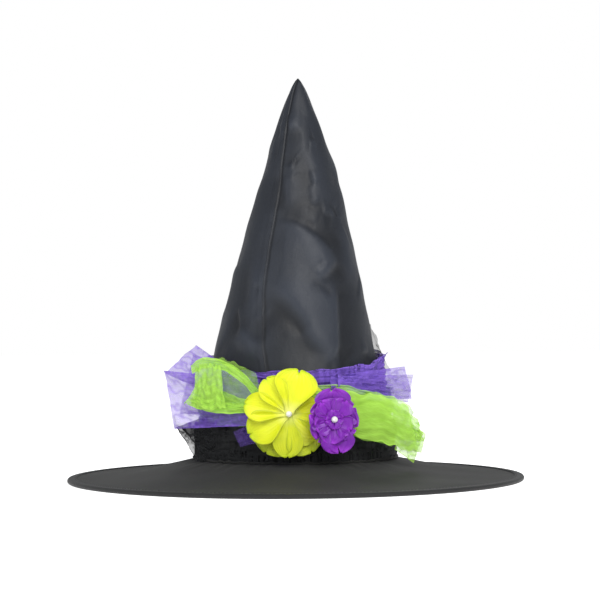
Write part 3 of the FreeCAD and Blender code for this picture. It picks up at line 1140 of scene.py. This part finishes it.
@dataclass
class Sashes:
    """Three strips of tulle gathered round the crown, with loose ends and a loop beside the flowers."""

    crown: Crown

    def _on(self, turn: float, height: float, lift: float) -> Place:
        """A point off the crown."""
        return tuple(self.crown.surface(np.array(turn), np.array(height), lift))

    def _band(
        self, heights: Sequence[float], widths: Sequence[float], lift: float, ripple: float, pleats: float, seed: int,
        density: float = 1.0,
    ) -> Strip:
        """A strip all the way round the crown.

        Args:
            heights: Height of its middle at even turns from the front.
            widths: Width there.
            lift: How far its middle stands off the crown.
            ripple: Depth of its pleats.
            pleats: Pleats across it.
            seed: Seed of its unevenness.
            density: Share of its full thickness of thread.

        Returns:
            The closed strip.
        """
        stations = [
            Station(
                self._on(360.0 * index / len(heights), height, lift), width, 0.0,
                ripple * (1.4 - 0.5 * math.cos(2.0 * math.pi * index / len(heights))),
            )
            for index, (height, width) in enumerate(zip(heights, widths))
        ]
        return Strip(stations, pleats, seed, density, rows=300, columns=int(pleats * 7), closed=True)

    def _lean(self, patch: Patch, keep: float) -> Patch:
        """Push points of a strip out to where they clear the crown."""
        points = patch.points
        height = points[..., 2]
        lean = self.crown.lean * smoothstep((height - 105.0) / 160.0)
        away = np.hypot(points[..., 0] - lean, points[..., 1])
        turn = np.degrees(np.arctan2(points[..., 0] - lean, -points[..., 1]))
        need = self.crown.radius(height) + self.crown.relief(turn, height) + keep
        grow = np.maximum(need / np.maximum(away, 1.0), 1.0)
        points[..., 0] = lean + (points[..., 0] - lean) * grow
        points[..., 1] *= grow
        return patch

    def _sheet(
        self, name: str, strips: Sequence[Strip | Corner], keep: float, finish: Finish,
        flat: tuple[float, float], node: str,
    ) -> None:
        """Join strips into one sash and log its area beside the area of its flat cut."""
        patches = [self._lean(strip.patch(), keep) for strip in strips]
        piece = make_mesh(name, patches, finish.material())
        settle(piece, finish.value.name, node)
        area = sum(face.area for face in piece.data.polygons)
        LOG.info("%s area %.4f m2, cut %.4f m2", name, area, flat[0] * flat[1])

    def build(self) -> None:
        """Make the three sashes."""
        black = [
            self._band([34, 34, 35, 36, 35, 36, 34, 33], [31, 30, 33, 31, 34, 31, 32, 31], 1.7, 0.7, 6, 3, 1.25),
            self._band([33, 34, 34, 34, 34, 34, 33, 33], [28, 27, 27, 27, 27, 27, 27, 28], 0.9, 0.3, 4, 5, 1.25),
            Corner([(-76, -38, 58), (-103, -30, 48), (-84, -42, 19), (-60, -62, 19)], 1.2, 13, (1.0, 0.8)),
            Corner([(-66, -54, 54), (-98, -38, 48), (-80, -46, 26), (-48, -72, 24)], 1.0, 14, (1.1, 1.0)),
            Corner([(60, 16, 137), (66, 4, 136), (84, -12, 95), (70, 34, 92)], 1.0, 15, (0.7, 0.5)),
        ]
        self._sheet("black_tulle_gathers", black, 0.8, Finish.BLACK_TULLE, (0.060, 0.60), "black_tulle_sash")
        purple = [
            self._band([84, 86, 91, 97, 94, 96, 89, 84], [26, 30, 38, 36, 42, 36, 36, 29], 3.6, 1.5, 6, 17, 1.1),
            self._band([83, 85, 93, 91, 98, 91, 91, 83], [24, 28, 32, 38, 32, 38, 32, 27], 2.4, 1.0, 4, 19, 1.1),
            Corner([(-86, -22, 119), (-113, -26, 95), (-38, -80, 62), (-36, -80, 86)], 2.4, 23, (0.95, 1.1), 60),
            Corner([(-113, -30, 97), (-104, -40, 47), (-34, -92, 52), (-38, -84, 90)], 2.4, 25, (0.95, 1.1), 60),
            Corner([(-88, -24, 112), (-100, -34, 60), (-30, -84, 58), (-34, -82, 84)], 2.0, 27, (0.7, 0.9), 50),
            Corner([(96, -20, 99), (102, -24, 71), (36, -82, 72), (36, -82, 93)], 1.8, 29, (0.9, 1.1), 60),
            Corner([(103, -26, 92), (98, -28, 68), (30, -84, 74), (30, -84, 92)], 1.8, 31, (0.7, 1.0), 50),
            Corner([(-52, -78, 46), (-46, -84, 34), (-20, -96, 40), (-22, -92, 58)], 0.9, 37, (0.35, 0.95), 30),
        ]
        self._sheet("purple_tulle_gathers", purple, 1.6, Finish.PURPLE_TULLE, (0.075, 0.68), "purple_tulle_sash")
        green = [
            self._band([64, 64, 66, 68, 67, 69, 66, 64], [26, 27, 28, 28, 29, 28, 28, 26], 4.4, 1.2, 6, 41),
            self._band([64, 64, 67, 67, 68, 67, 67, 64], [22, 24, 25, 26, 25, 26, 25, 23], 3.2, 0.8, 5, 43),
            Strip([
                Station((-22, -90, 66), 10, 0, 0.8), Station((-32, -91, 72), 18, 0, 0.8),
                Station((-44, -90, 82), 33, 0, 0.8), Station((-57, -86, 87), 38, 0, 0.8),
                Station((-69, -78, 88), 40, 0, 0.8),
            ], 2, 47, 0.42, rows=110, billow=1.0),
            Strip([
                Station((-60, -86, 84), 35, 8, 0.8), Station((-69, -79, 84), 37, 4, 0.8),
                Station((-78, -70, 84), 37, 0, 0.8), Station((-85, -61, 83), 34, -6, 0.8),
            ], 3, 51, 1.05, rows=70, billow=0.9),
            Strip([
                Station((-85, -61, 83), 34, -6, 0.8), Station((-78, -65, 76), 24, 0, 0.8),
                Station((-60, -78, 72), 16, 0, 0.8), Station((-42, -87, 68), 11, 0, 0.8),
                Station((-24, -91, 65), 8, 0, 0.6),
            ], 3, 48, 1.0, rows=90),
            Strip([
                Station((-88, -56, 98), 8, 0, 0.8), Station((-76, -70, 104), 9, 0, 0.8),
                Station((-58, -80, 101), 8, 0, 0.8), Station((-42, -86, 90), 7, 0, 0.8),
                Station((-28, -90, 74), 6, 0, 0.6), Station((-16, -92, 66), 5, 0, 0.5),
            ], 2, 49, 1.2, rows=90, columns=20),
            Strip([
                Station((-88, -58, 72), 9, 0, 0.8), Station((-74, -74, 68), 10, 0, 0.8),
                Station((-54, -84, 66), 9, 0, 0.8), Station((-36, -90, 66), 7, 0, 0.8),
                Station((-18, -93, 64), 5, 0, 0.5),
            ], 2, 50, 1.2, rows=90, columns=20),
            Strip([
                Station((10, -92, 74), 12, 0, 1.0), Station((34, -92, 68), 26, 0, 1.2),
                Station((56, -86, 60), 36, 0, 0.9), Station((76, -79, 55), 38, -6, 0.9),
                Station((91, -72, 49), 37, -20, 0.9), Station((100, -67, 44), 33, -38, 0.8),
            ], 3, 53, 1.0, rows=130, columns=80, billow=0.9),
            Corner([(82, -72, 70), (104, -62, 55), (109, -59, 36), (84, -73, 38)], 0.9, 54, (1.1, 1.1), 50),
            Corner([(86, -71, 52), (109, -59, 44), (100, -65, 18), (84, -73, 30)], 0.9, 56, (1.1, 1.0), 40),
            Corner([(98, -64, 52), (111, -58, 42), (107, -60, 26), (92, -69, 30)], 0.7, 57, (1.0, 1.0), 30),
            Strip([
                Station((14, -88, 80), 9, 0, 0.8), Station((38, -81, 78), 14, 0, 0.9),
                Station((62, -74, 69), 20, 0, 1.1), Station((84, -68, 60), 26, -10, 1.3),
                Station((100, -62, 50), 24, -30, 1.2),
            ], 4, 59, 0.8, rows=110, billow=1.0),
            Strip([
                Station((12, -86, 62), 16, 0, 0.9), Station((36, -86, 58), 20, 0, 1.0),
                Station((58, -80, 50), 22, 0, 1.2), Station((80, -72, 46), 24, -8, 1.2),
                Station((92, -68, 42), 20, -30, 1.2),
            ], 4, 61, 0.75, rows=110, billow=1.0),
        ]
        self._sheet("green_tulle_gathers", green, 1.8, Finish.GREEN_TULLE, (0.070, 0.66), "green_tulle_sash")


# ------------------------------------------------------------------ flowers

@dataclass(frozen=True)
class PetalShape:
    """One petal: where it points, how big it is and how it curls."""

    angle: float
    reach: float
    width: float
    tilt: float = 14.0
    base: float = 0.0
    cup: float = 5.0
    curl: float = 4.0
    notch: float = 0.05
    ruffle: float = 0.0
    waves: float = 3.0
    # Painted shade on the whole petal, more on petals that lie behind or below others.
    shade: float = 0.0
    seed: int = 1

    def patch(self, rows: int = 30, columns: int = 27) -> Patch:
        """The petal on the flower's own axes: x right, y up, z towards the viewer."""
        along, across = np.meshgrid(np.linspace(0.0, 1.0, rows), np.linspace(-1.0, 1.0, columns), indexing="ij")
        swell = smoothstep(along / 0.7)
        tip = np.sqrt(np.clip(1.0 - (np.clip(along - 0.55, 0, 1) / 0.455) ** 2.4, 0.0, 1.0))
        half = self.width * (0.10 + 0.40 * swell) * tip
        side = across * half
        lobes = 1.0 - self.notch * along**5 * np.exp(-((across / 0.28) ** 2))
        frill = self.ruffle * 0.02 * along**3 * np.sin(self.waves * math.pi * across * 2 + self.seed)
        length = self.reach * along * (lobes + frill)
        wobble = waves(across * 0.5, along, self.seed, ((1.0, 0.6), (2.0, -0.8), (1.5, 1.4)))
        out = (
            self.base
            + length * math.tan(math.radians(self.tilt))
            + self.cup * (across**2) * np.sin(math.pi * np.clip(along * 0.92, 0, 1)) ** 1.2
            - self.curl * along**2.6
            - 0.9 * np.exp(-((across / 0.12) ** 2)) * np.sin(math.pi * along) * (0.4 + 0.6 * self.ruffle)
            + 0.35 * wobble * along
            + self.ruffle * along**1.6 * (
                np.sin(self.waves * math.pi * across + self.seed * 1.7)
                + 0.6 * np.sin(self.waves * 2.3 * math.pi * across + self.seed)
            )
        )
        turn = math.radians(self.angle)
        x = length * math.cos(turn) - side * math.sin(turn)
        y = length * math.sin(turn) + side * math.cos(turn)
        # Painted shade in the ruffles' grooves: the shade weight grows where the petal sinks back.
        groove_shade = np.clip(-out * 0.04 + 0.2, 0.0, 1.0) if self.ruffle else 0.0
        shade = np.clip(self.shade + groove_shade + 0.0 * along, 0.0, 1.0)
        uv = np.stack([across * 0.5 + 0.5, along], -1)
        return Patch(np.stack([x, y, out], -1), uv, {"shade": shade})


@dataclass(frozen=True)
class Facing:
    """Where a flower is and which way it looks."""

    centre: Place
    turn: float
    lean: float

    def place(self, points: Array) -> Array:
        """Carry points from the flower's own axes to the hat."""
        upright = Matrix.Rotation(math.radians(90 - self.lean), 3, "X")
        turned = Matrix.Rotation(math.radians(self.turn), 3, "Z") @ upright
        return points @ np.array(turned).T + np.array(self.centre)


@dataclass
class Flower:
    """A cloth flower: petal layers, a pearl and the glue behind it."""

    label: str
    facing: Facing
    finish: Finish
    layers: dict[str, Sequence[PetalShape]]
    pearl_r: float
    pearl_out: float
    glue: tuple[float, float, float]
    cloth_t: float = 0.9

    def _layer(self, name: str, petals: Sequence[PetalShape]) -> None:
        """One layer of petals."""
        patches = [petal.patch() for petal in petals]
        for patch in patches:
            patch.points = self.facing.place(patch.points)
        piece = make_mesh(f"{self.label}_{name}_cloth", patches, self.finish.material())
        thick = piece.modifiers.new("thickness", "SOLIDIFY")
        thick.thickness = self.cloth_t * MM
        thick.offset = -1.0
        settle(piece, self.finish.value.name, f"{self.label}_{name}")

    def _pearl(self) -> None:
        """A drilled bead, with its hole to the front."""
        outline = []
        for step in range(19):
            angle = math.pi * step / 18
            outline.append((max(0.32, self.pearl_r * math.sin(angle)), -self.pearl_r * math.cos(angle)))
        outline.append((0.3, self.pearl_r * 0.7))
        outline.append((0.0, self.pearl_r * 0.62))
        outline.insert(0, (0.0, -self.pearl_r))
        patch = lathe(outline, 40, closed=False)
        patch.points = self.facing.place(patch.points + np.array([0.0, 0.0, self.pearl_out]))
        bead = weld(make_mesh(f"{self.label}_bead", [patch], Finish.PEARL.material()))
        settle(bead, "pearl", f"{self.label}_pearl")

    def _glue(self) -> None:
        """An uneven mound of glue under the petals."""
        foot_r, top_r, height = self.glue
        rings = [(0.0, -height), (foot_r * 0.8, -height), (foot_r, -height * 0.86)]
        rings += [(foot_r + (top_r - foot_r) * s, -height * (0.86 - 0.8 * s)) for s in (0.35, 0.7, 1.0)]
        rings += [(top_r * 0.8, -0.02), (0.0, 0.0)]
        patch = lathe(rings, 48, closed=False)
        angle = np.arctan2(patch.points[..., 1], patch.points[..., 0])
        uneven = 1.0 + 0.05 * waves(angle / (2 * math.pi), patch.points[..., 2] / 12.0, 83, ((2, 1), (3, 0), (5, 1)))
        patch.points[..., :2] *= uneven[..., None]
        patch.points = self.facing.place(patch.points)
        mound = weld(make_mesh(f"{self.label}_glue_mound", [patch], Finish.GLUE.material()))
        settle(mound, "glue", f"{self.label}_glue")

    def build(self) -> None:
        """Make the flower."""
        for name, petals in self.layers.items():
            self._layer(name, petals)
        self._pearl()
        self._glue()


def yellow_flower() -> Flower:
    """The large yellow-green flower."""
    # shade paints shade: more on the lower front petals and on the back layer, which lies behind them.
    front = [
        PetalShape(207, 37.5, 31, 12, 2.4, 5.5, 5.0, 0.06, shade=0.2, seed=4),
        PetalShape(268, 36.0, 27, 9, 1.9, 4.0, 4.0, 0.05, shade=0.34, seed=5),
        PetalShape(167, 38.0, 26, 14, 2.9, 5.0, 4.0, 0.05, shade=0.02, seed=3),
        PetalShape(123, 35.5, 26, 15, 3.2, 5.0, 4.0, 0.07, shade=0.0, seed=2),
        PetalShape(76, 38.0, 38, 16, 3.8, 6.5, 6.0, 0.12, shade=0.0, seed=1),
        PetalShape(323, 31.0, 34, 5, 1.6, 2.6, 3.0, 0.06, shade=0.2, seed=6),
    ]
    back = [
        PetalShape(33, 34.0, 34, 5, 0.4, 3.0, 4.0, 0.08, shade=0.04, seed=7),
        PetalShape(105, 33.0, 34, 6, 0.3, 4.0, 3.0, 0.05, shade=0.3, seed=8),
        PetalShape(177, 34.0, 34, 6, 0.2, 4.0, 3.0, 0.05, shade=0.3, seed=9),
        PetalShape(238, 37.5, 36, 5, 0.1, 4.0, 3.0, 0.05, shade=0.5, seed=10),
        PetalShape(301, 37.0, 34, 5, 0.3, 4.0, 3.5, 0.05, shade=0.45, seed=11),
    ]
    return Flower(
        "yellow_flower", Facing((-5.0, -93.0, 60.6), 0.0, 8.0), Finish.YELLOW,
        {"front_petals": front, "back_petals": back}, 2.6, 6.4, (11.0, 9.0, 3.4),
    )


def purple_flower() -> Flower:
    """The small ruffled purple flower."""
    outer = [
        PetalShape(92, 25.5, 32, 10, 0.2, 2.6, 2.5, 0.10, 0.8, 1.2, seed=21),
        PetalShape(164, 20.5, 27, 10, 0.6, 2.6, 2.5, 0.12, 0.8, 1.4, seed=22),
        PetalShape(230, 22.0, 27, 9, 0.9, 2.6, 2.5, 0.14, 0.8, 1.2, seed=23),
        PetalShape(278, 28.0, 30, 10, 1.4, 2.2, 2.0, 0.2, 0.7, 1.4, seed=24),
        PetalShape(338, 21.0, 27, 10, 0.6, 2.6, 2.5, 0.12, 0.8, 1.3, seed=25),
        PetalShape(30, 21.5, 27, 10, 0.4, 2.6, 2.5, 0.12, 0.8, 1.3, seed=26),
    ]
    middle = [
        PetalShape(126, 18.5, 22, 17, 2.0, 2.4, 3.0, 0.12, 0.8, 1.2, seed=31),
        PetalShape(200, 17.0, 21, 17, 2.1, 2.4, 3.0, 0.12, 0.8, 1.4, seed=32),
        PetalShape(258, 20.0, 23, 15, 2.2, 2.2, 3.0, 0.14, 0.8, 1.2, seed=33),
        PetalShape(326, 17.0, 21, 17, 2.1, 2.4, 3.0, 0.12, 0.8, 1.3, seed=34),
        PetalShape(58, 19.0, 22, 17, 2.0, 2.4, 3.0, 0.12, 0.8, 1.1, seed=35),
    ]
    inner = [
        PetalShape(95, 8.0, 11, 26, 3.4, 1.4, 2.0, 0.12, 0.5, 1.2, seed=41),
        PetalShape(185, 7.5, 10, 26, 3.5, 1.4, 2.0, 0.12, 0.5, 1.2, seed=42),
        PetalShape(275, 8.0, 11, 26, 3.6, 1.4, 2.0, 0.12, 0.5, 1.2, seed=43),
        PetalShape(5, 7.5, 10, 26, 3.4, 1.4, 2.0, 0.12, 0.5, 1.2, seed=44),
    ]
    return Flower(
        "purple_flower", Facing((31.0, -101.5, 56.6), 14.0, 4.0), Finish.PURPLE,
        {"outer_petals": outer, "middle_petals": middle, "inner_petals": inner}, 2.7, 6.8, (7.5, 6.0, 13.0), 0.45,
    )


# ------------------------------------------------------------------ stage

@dataclass
class Stage:
    """Pale floor, soft lights and a camera a little above the brim, looking at the front."""

    distance: float = 1.600
    eye_z: float = 0.1248
    side: float = 0.0049
    pitch: float = 1.186
    roll: float = -0.43
    lens: float = 108.7
    sky_light: float = 0.36
    floor_half: float = 12.0

    def _area(self, name: str, at: Place, aim: Place, size: float, power: float, colour: Colour) -> None:
        """A soft square light."""
        light = bpy.data.lights.new(name, "AREA")
        light.energy = power
        light.size = size
        light.color = colour
        lamp = bpy.data.objects.new(name, light)
        lamp.location = at
        lamp.rotation_euler = (Vector(aim) - Vector(at)).to_track_quat("-Z", "Y").to_euler()
        bpy.context.scene.collection.objects.link(lamp)

    def _world(self, scene: bpy.types.Scene) -> None:
        """White to the eye, dimmer as a light, so dark cloth keeps its depth."""
        world = bpy.data.worlds.new("studio")
        world.use_nodes = True
        nodes, link = world.node_tree.nodes, world.node_tree.links.new
        seen, shed = nodes["Background"], nodes.new("ShaderNodeBackground")
        seen.inputs[0].default_value = (1.0, 1.0, 1.0, 1.0)
        shed.inputs[0].default_value = (0.95, 0.97, 1.0, 1.0)
        shed.inputs[1].default_value = self.sky_light
        ray, both = nodes.new("ShaderNodeLightPath"), nodes.new("ShaderNodeMixShader")
        link(ray.outputs["Is Camera Ray"], both.inputs[0])
        link(shed.outputs[0], both.inputs[1])
        link(seen.outputs[0], both.inputs[2])
        link(both.outputs[0], nodes["World Output"].inputs[0])
        scene.world = world

    def build(self) -> None:
        """Set out the floor, lights and camera."""
        scene = bpy.context.scene
        plane = bpy.data.meshes.new("floor")
        half = self.floor_half
        plane.from_pydata([(-half, -half, 0), (half, -half, 0), (half, half, 0), (-half, half, 0)], [], [(0, 1, 2, 3)])
        floor = bpy.data.objects.new("floor", plane)
        floor.data.materials.append(Finish.FLOOR.material())
        scene.collection.objects.link(floor)
        self._world(scene)
        scene.view_settings.view_transform = "Standard"
        scene.cycles.transparent_max_bounces = SHEER_LAYERS
        self._area("key", (0.55, -1.7, 1.5), (0, 0, 0.16), 1.2, 34.0, (1.0, 0.99, 0.97))
        self._area("fill", (-1.6, -1.2, 0.8), (0, 0, 0.15), 1.0, 7.0, (0.93, 0.96, 1.0))
        self._area("rim", (0.4, 1.7, 1.6), (0, 0, 0.2), 1.0, 10.0, (1.0, 1.0, 1.0))
        camera = bpy.data.cameras.new("camera")
        camera.lens = self.lens
        camera.sensor_width = 36.0
        eye = bpy.data.objects.new("camera", camera)
        look = (
            Matrix.Translation((self.side, -self.distance, self.eye_z))
            @ Matrix.Rotation(math.radians(90.0 + self.pitch), 4, "X")
            @ Matrix.Rotation(math.radians(self.roll), 4, "Z")
        )
        eye.matrix_world = look
        scene.collection.objects.link(eye)
        scene.camera = eye


def dress_frame_nodes() -> None:
    """Give the frame's own pieces that stay in view their finishes."""
    for node, finish in (
        ("brim_stiffener", Finish.BOARD),
        ("brim_hoop", Finish.HOOP),
        ("hoop_sleeve", Finish.SLEEVE),
    ):
        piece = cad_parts[node]
        for index in range(max(1, len(piece.material_slots))):
            if piece.material_slots:
                piece.material_slots[index].material = finish.material()
            else:
                piece.data.materials.append(finish.material())
        LOG.info("%s keeps its frame mesh, finished as %s", node, finish.value.name)


def main() -> None:
    """Dress the whole hat."""
    logging.basicConfig(level=logging.INFO, format="%(name)s %(message)s")
    tool = StitchTool()
    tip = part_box("crown_shell")[1] / MM
    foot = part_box("crown_shell")[0] / MM
    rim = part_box("brim_binding")[1] / MM
    band_low, band_high = (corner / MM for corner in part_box("sweatband"))
    crown = Crown(tip_z=tip.z, foot_z=foot.z, foot_r=tip.x)
    crown.build()
    crown.sew(tool)
    brim = Brim(rim_r=rim.x, inner_r=tip.x)
    ribbon_r = band_high.x - 0.8
    brim.build(band_low.z, band_high.z, ribbon_r)
    brim.sew(tool, band_low.z + 1.6, ribbon_r)
    Sashes(crown).build()
    yellow_flower().build()
    purple_flower().build()
    dress_frame_nodes()
    Stage().build()


if __name__ == "__main__":
    main()
